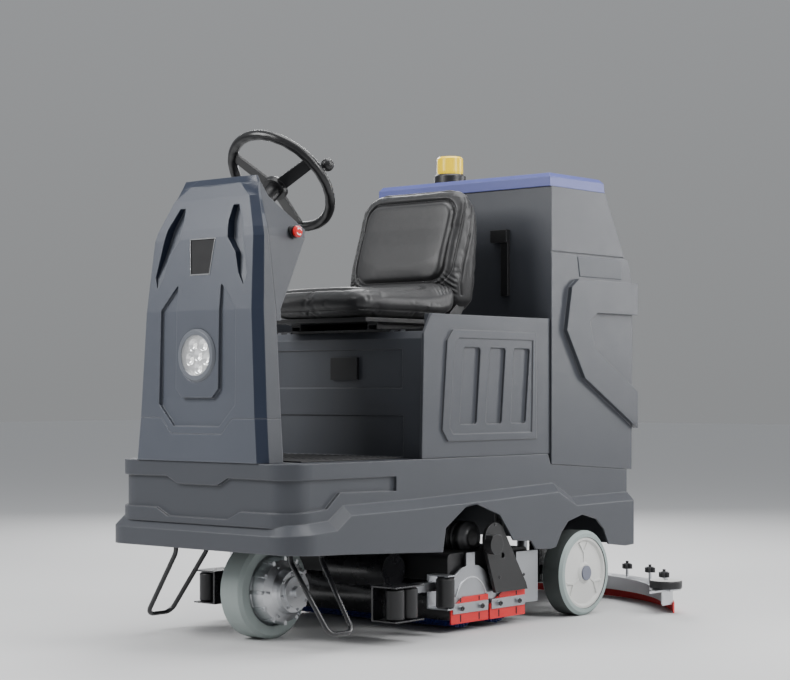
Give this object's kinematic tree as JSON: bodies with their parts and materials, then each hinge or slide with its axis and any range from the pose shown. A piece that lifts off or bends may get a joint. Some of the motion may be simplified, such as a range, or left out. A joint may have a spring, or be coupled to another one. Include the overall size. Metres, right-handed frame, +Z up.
{
  "type": "ride-on floor scrubber",
  "caption": "Ride-on floor scrubber with moulded base, tall nose with headlight, steering wheel, black seat, rear tank with beacon, cylindrical scrub deck and curved squeegee.",
  "frame": {"origin": "on the floor under the middle of the bounding box", "axes": "front faces -Y, operator's left is +X, +Z is up"},
  "size_m": [1.216, 1.8619, 1.481],
  "materials": {
    "slate_plastic": "fine leather-grain moulded plastic, satin",
    "blue_plastic": "satin moulded plastic",
    "black_leather": "soft semi-gloss black upholstery",
    "black_plastic": "satin",
    "black_rubber": "matt, studded",
    "black_steel": "gloss black powder coat",
    "grey_tyre": "smooth non-marking polyurethane",
    "grey_sidewall_tyre": "non-marking rubber, satin",
    "white_hub": "satin moulded hub",
    "aluminium": "cast, lightly blasted",
    "steel": "zinc plated",
    "red_rubber": "smooth",
    "red_plastic": "gloss",
    "clear_lens": "clear polycarbonate",
    "amber_lens": "ribbed amber polycarbonate",
    "chrome": "bright reflector",
    "blue_bristle": "nylon bristle",
    "battery": "satin case"
  },
  "bodies": {
    "machine": {"base_cover": "slate_plastic", "floor_mat": "black_rubber", "chassis_frame": "black_steel", "nose_cover": "slate_plastic", "nose_lower_cover": "slate_plastic", "name_plate": "black_plastic", "console_cover": "slate_plastic", "headlight_bezel": "black_plastic", "headlight_lens": "clear_lens", "headlight_cups": "chrome", "steering_column": "black_plastic", "control_panel": "black_plastic", "stop_collar": "black_plastic", "guard_loops": "black_steel", "seat_box": "slate_plastic", "box_latch": "black_plastic", "battery_pack": "battery", "side_panel_left": "slate_plastic", "side_panel_right": "slate_plastic", "rear_tank": "slate_plastic", "tank_handle": "slate_plastic", "vacuum_motor": "black_plastic", "pedal_stands": "steel"},
    "lid": {"tank_lid": "blue_plastic", "beacon_base": "black_plastic", "beacon_lens": "amber_lens"},
    "steering_wheel": {"steering_rim": "black_plastic"},
    "knob": {"spinner_knob": "black_plastic"},
    "stop_button": {"stop_button": "red_plastic"},
    "drive_fork": {"drive_fork": "aluminium"},
    "drive_wheel": {"drive_tyre": "grey_tyre", "drive_motor": "aluminium"},
    "rear_wheel_left": {"rear_tyre_left": "grey_sidewall_tyre", "rear_hub_left": "white_hub"},
    "rear_wheel_right": {"rear_tyre_right": "grey_sidewall_tyre", "rear_hub_right": "white_hub"},
    "deck": {"deck_housing": "black_steel", "deck_frame": "steel", "side_skirts": "red_rubber", "skirt_clamps": "steel", "belt_cover": "black_plastic"},
    "brush_front": {"brush_front": "blue_bristle"},
    "brush_rear": {"brush_rear": "blue_bristle"},
    "seat_platform": {"seat_deck": "black_steel"},
    "seat": {"seat_shell": "black_plastic", "seat_cushion": "black_leather", "seat_backrest": "black_leather"},
    "squeegee_arm": {"squeegee_arm": "steel"},
    "squeegee": {"squeegee_holder": "aluminium", "squeegee_blade": "red_rubber"},
    "accelerator_pedal": {"accelerator_pedal": "black_rubber"},
    "brake_pedal": {"brake_pedal": "black_rubber"},
    "corner_roller_left": {"corner_roller_left": "black_plastic"},
    "corner_roller_right": {"corner_roller_right": "black_plastic"},
    "inner_roller_left": {"inner_roller_left": "black_plastic"},
    "inner_roller_right": {"inner_roller_right": "black_plastic"},
    "mid_roller_left": {"mid_roller_left": "black_plastic"},
    "mid_roller_right": {"mid_roller_right": "black_plastic"},
    "bumper_wheel_left": {"bumper_wheel_left": "black_plastic"},
    "bumper_wheel_right": {"bumper_wheel_right": "black_plastic"}
  },
  "joints": [
    {"name": "drive_steer", "type": "hinge", "parent": "machine", "child": "drive_fork", "pos_m": [0, -0.654, 0.3], "axis": [0, 0, 1], "range_deg": [-75, 75]},
    {"name": "steering_wheel_turn", "type": "hinge", "parent": "machine", "child": "steering_wheel", "pos_m": [0, -0.584, 1.316], "axis": [0, 0.7431, 0.6691], "range_deg": [-270, 270]},
    {"name": "spinner_knob_turn", "type": "hinge", "parent": "steering_wheel", "child": "knob", "pos_m": [0.16434, -0.59361, 1.32667], "axis": [0, 0.7431, 0.6691], "continuous": true},
    {"name": "drive_wheel_spin", "type": "hinge", "parent": "drive_fork", "child": "drive_wheel", "pos_m": [0, -0.654, 0.141], "axis": [1, 0, 0], "continuous": true},
    {"name": "rear_wheel_spin_left", "type": "hinge", "parent": "machine", "child": "rear_wheel_left", "pos_m": [0.355, 0.389, 0.134], "axis": [1, 0, 0], "continuous": true},
    {"name": "rear_wheel_spin_right", "type": "hinge", "parent": "machine", "child": "rear_wheel_right", "pos_m": [-0.355, 0.389, 0.134], "axis": [1, 0, 0], "continuous": true},
    {"name": "seat_tilt", "type": "hinge", "parent": "machine", "child": "seat_platform", "pos_m": [0, -0.329, 0.8825], "axis": [1, 0, 0], "range_deg": [0, 35]},
    {"name": "seat_slide", "type": "slide", "parent": "seat_platform", "child": "seat", "axis": [0, 1, 0], "range_m": [-0.05, 0.05]},
    {"name": "lid_open", "type": "hinge", "parent": "machine", "child": "lid", "pos_m": [0, 0.553, 1.3485], "axis": [-1, 0, 0], "range_deg": [0, 75]},
    {"name": "stop_press", "type": "slide", "parent": "machine", "child": "stop_button", "axis": [1, 0, 0], "range_m": [-0.005, 0], "stiffness_N_per_m": 600, "springref_m": 0.004},
    {"name": "accelerator_pedal_press", "type": "hinge", "parent": "machine", "child": "accelerator_pedal", "pos_m": [-0.15, -0.699, 0.533], "axis": [1, 0, 0], "range_deg": [0, 20], "stiffness_Nm_per_rad": 6, "springref_deg": -8.59},
    {"name": "brake_pedal_press", "type": "hinge", "parent": "machine", "child": "brake_pedal", "pos_m": [-0.03, -0.699, 0.533], "axis": [1, 0, 0], "range_deg": [0, 20], "stiffness_Nm_per_rad": 6, "springref_deg": -8.59},
    {"name": "deck_lift", "type": "slide", "parent": "machine", "child": "deck", "axis": [0, 0, 1], "range_m": [0, 0.04]},
    {"name": "brush_front_spin", "type": "hinge", "parent": "deck", "child": "brush_front", "pos_m": [0, -0.142, 0.084], "axis": [1, 0, 0], "continuous": true},
    {"name": "brush_rear_spin", "type": "hinge", "parent": "deck", "child": "brush_rear", "pos_m": [0, 0.029, 0.084], "axis": [1, 0, 0], "continuous": true},
    {"name": "corner_roller_spin_left", "type": "hinge", "parent": "deck", "child": "corner_roller_left", "pos_m": [0.376, -0.515, 0.11], "axis": [0, 0, 1], "continuous": true},
    {"name": "corner_roller_spin_right", "type": "hinge", "parent": "deck", "child": "corner_roller_right", "pos_m": [-0.376, -0.515, 0.11], "axis": [0, 0, 1], "continuous": true},
    {"name": "inner_roller_spin_left", "type": "hinge", "parent": "deck", "child": "inner_roller_left", "pos_m": [0.376, -0.457, 0.11], "axis": [0, 0, 1], "continuous": true},
    {"name": "inner_roller_spin_right", "type": "hinge", "parent": "deck", "child": "inner_roller_right", "pos_m": [-0.376, -0.457, 0.11], "axis": [0, 0, 1], "continuous": true},
    {"name": "mid_roller_spin_left", "type": "hinge", "parent": "deck", "child": "mid_roller_left", "pos_m": [0.382, -0.299, 0.126], "axis": [0, 0, 1], "continuous": true},
    {"name": "mid_roller_spin_right", "type": "hinge", "parent": "deck", "child": "mid_roller_right", "pos_m": [-0.382, -0.299, 0.126], "axis": [0, 0, 1], "continuous": true},
    {"name": "squeegee_lift", "type": "slide", "parent": "machine", "child": "squeegee_arm", "axis": [0, 0, 1], "range_m": [0, 0.05]},
    {"name": "squeegee_swivel", "type": "hinge", "parent": "squeegee_arm", "child": "squeegee", "pos_m": [0, 0.581, 0.076], "axis": [0, 0, 1], "range_deg": [-15, 15]},
    {"name": "bumper_wheel_spin_left", "type": "hinge", "parent": "squeegee", "child": "bumper_wheel_left", "pos_m": [0.556, 0.601, 0.092], "axis": [0, 0, 1], "continuous": true},
    {"name": "bumper_wheel_spin_right", "type": "hinge", "parent": "squeegee", "child": "bumper_wheel_right", "pos_m": [-0.556, 0.601, 0.092], "axis": [0, 0, 1], "continuous": true}
  ],
  "couplings": [
    {"joint": "steering_wheel_turn", "follows": "drive_steer", "ratio": 3.6}
  ]
}
